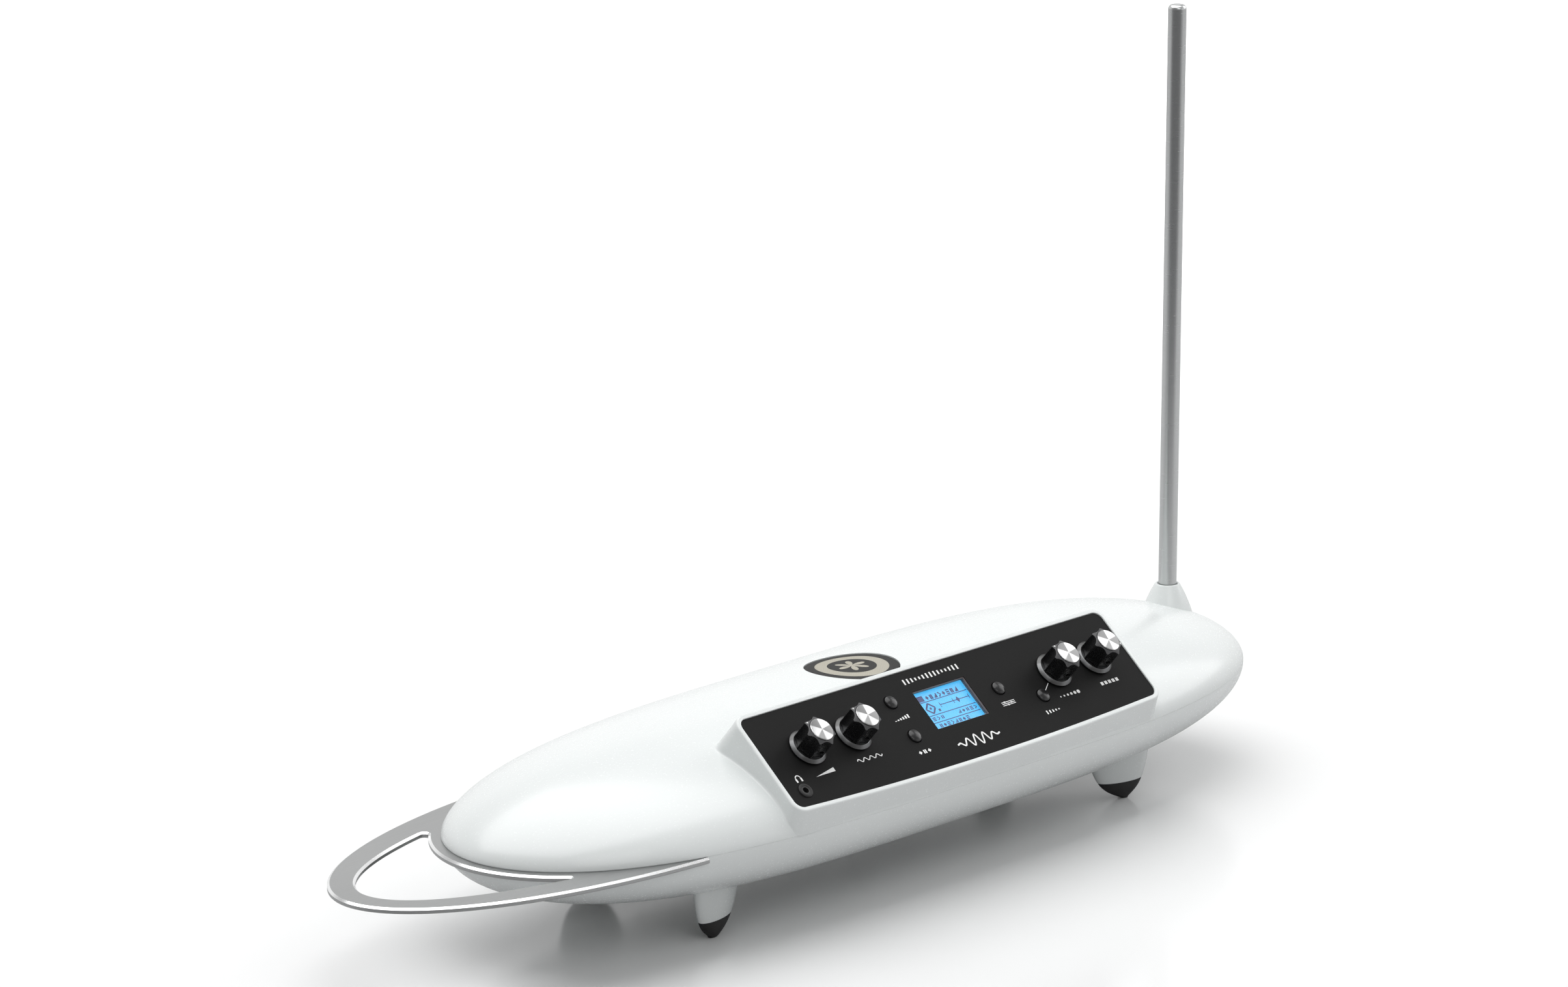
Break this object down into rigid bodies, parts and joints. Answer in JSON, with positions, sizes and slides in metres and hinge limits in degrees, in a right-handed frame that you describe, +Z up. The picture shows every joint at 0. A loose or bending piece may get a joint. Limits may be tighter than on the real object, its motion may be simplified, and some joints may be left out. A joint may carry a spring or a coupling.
{
  "type": "tabletop theremin",
  "caption": "Tabletop theremin with a white pod-shaped case, sloping control panel, flat looped volume antenna and upright pitch antenna rod.",
  "frame": {"origin": "on the table, under the middle of the instrument's outer box", "axes": "+Z up, +X to the player's right, towards the pitch antenna; the player stands at -Y"},
  "size_m": [0.6636, 0.1933, 0.4305],
  "materials": {
    "shell_white": "moulded, glossy",
    "antenna_sheet": "brushed, chamfered edges",
    "panel_black": "satin black",
    "display_glass": "clear blue",
    "display_frame": "moulded",
    "board_green": "solder mask",
    "pot_metal": "stamped",
    "socket_black": "moulded",
    "socket_metal": "plated",
    "speaker_steel": "painted",
    "cone_black": "pressed",
    "rubber_black": "moulded",
    "grille_mesh": "woven mesh",
    "knob_black": "moulded, glossy",
    "skirt_grey": "satin",
    "cap_aluminium": "turned",
    "shaft_steel": "drawn",
    "button_grey": "satin",
    "brass": "turned",
    "insert_steel": "zinc plated",
    "screw_dark": "blackened",
    "rod_aluminium": "satin"
  },
  "bodies": {
    "case": {"top_shell": "shell_white", "bottom_shell": "shell_white", "volume_antenna": "antenna_sheet", "control_panel": "panel_black", "display_window": "display_glass", "display_module": "display_frame", "panel_board": "board_green", "main_board": "board_green", "volume_pot": "pot_metal", "pitch_pot": "pot_metal", "effect_pot": "pot_metal", "preset_encoder": "pot_metal", "headphone_socket": "socket_black", "speaker_frame": "speaker_steel", "speaker_surround": "rubber_black", "speaker_grille": "grille_mesh", "rear_panel": "socket_black", "line_sockets": "socket_metal", "pitch_out_socket": "socket_metal", "usb_socket": "socket_metal", "power_inlet": "socket_black", "power_switch_body": "socket_black", "antenna_socket": "brass", "stand_insert": "insert_steel", "leg_1": "shell_white", "leg_2": "shell_white", "leg_3": "shell_white", "leg_4": "shell_white", "foot_1": "rubber_black", "foot_2": "rubber_black", "foot_3": "rubber_black", "foot_4": "rubber_black", "case_screws": "screw_dark", "panel_screws": "screw_dark", "board_screws": "screw_dark", "tact_switches": "button_grey"},
    "volume_control": {"volume_knob": "knob_black", "volume_knob_skirt": "skirt_grey", "volume_knob_cap": "cap_aluminium", "volume_shaft": "shaft_steel"},
    "pitch_control": {"pitch_knob": "knob_black", "pitch_knob_skirt": "skirt_grey", "pitch_knob_cap": "cap_aluminium", "pitch_shaft": "shaft_steel"},
    "effect_control": {"effect_knob": "knob_black", "effect_knob_skirt": "skirt_grey", "effect_knob_cap": "cap_aluminium", "effect_shaft": "shaft_steel"},
    "preset_control": {"preset_knob": "knob_black", "preset_knob_skirt": "skirt_grey", "preset_knob_cap": "cap_aluminium", "preset_shaft": "shaft_steel"},
    "scale_key": {"scale_button": "button_grey"},
    "root_key": {"root_button": "button_grey"},
    "setup_key": {"setup_button": "button_grey"},
    "delay_key": {"delay_button": "button_grey"},
    "rocker": {"power_rocker": "button_grey"},
    "cone": {"speaker_cone": "cone_black"},
    "pitch_rod": {"pitch_antenna": "rod_aluminium"}
  },
  "joints": [
    {"name": "volume_turn", "type": "hinge", "parent": "case", "child": "volume_control", "pos_m": [-0.07215, -0.06742, 0.09605], "axis": [0, -0.6468, 0.7627], "range_deg": [-150, 150]},
    {"name": "pitch_turn", "type": "hinge", "parent": "case", "child": "pitch_control", "pos_m": [-0.03755, -0.06742, 0.09605], "axis": [0, -0.6468, 0.7627], "range_deg": [-150, 150]},
    {"name": "effect_turn", "type": "hinge", "parent": "case", "child": "effect_control", "pos_m": [0.12105, -0.06742, 0.09605], "axis": [0, -0.6468, 0.7627], "range_deg": [-150, 150]},
    {"name": "preset_turn", "type": "hinge", "parent": "case", "child": "preset_control", "pos_m": [0.15395, -0.06742, 0.09605], "axis": [0, -0.6468, 0.7627], "continuous": true},
    {"name": "scale_press", "type": "slide", "parent": "case", "child": "scale_key", "axis": [0, -0.6468, 0.7627], "range_m": [-0.001, 0], "stiffness_N_per_m": 600, "springref_m": 0.0005},
    {"name": "root_press", "type": "slide", "parent": "case", "child": "root_key", "axis": [0, -0.6468, 0.7627], "range_m": [-0.001, 0], "stiffness_N_per_m": 600, "springref_m": 0.0005},
    {"name": "setup_press", "type": "slide", "parent": "case", "child": "setup_key", "axis": [0, -0.6468, 0.7627], "range_m": [-0.001, 0], "stiffness_N_per_m": 600, "springref_m": 0.0005},
    {"name": "delay_press", "type": "slide", "parent": "case", "child": "delay_key", "axis": [0, -0.6468, 0.7627], "range_m": [-0.001, 0], "stiffness_N_per_m": 600, "springref_m": 0.0005},
    {"name": "power_rock", "type": "hinge", "parent": "case", "child": "rocker", "pos_m": [0.10725, 0.07075, 0.072], "axis": [1, 0, 0], "range_deg": [0, 14]},
    {"name": "cone_stroke", "type": "slide", "parent": "case", "child": "cone", "axis": [0, 0, 1], "range_m": [-0.001, 0.001], "stiffness_N_per_m": 2000},
    {"name": "pitch_rod_lift", "type": "slide", "parent": "case", "child": "pitch_rod", "axis": [0, 0, 1], "range_m": [0, 0.03]}
  ]
}
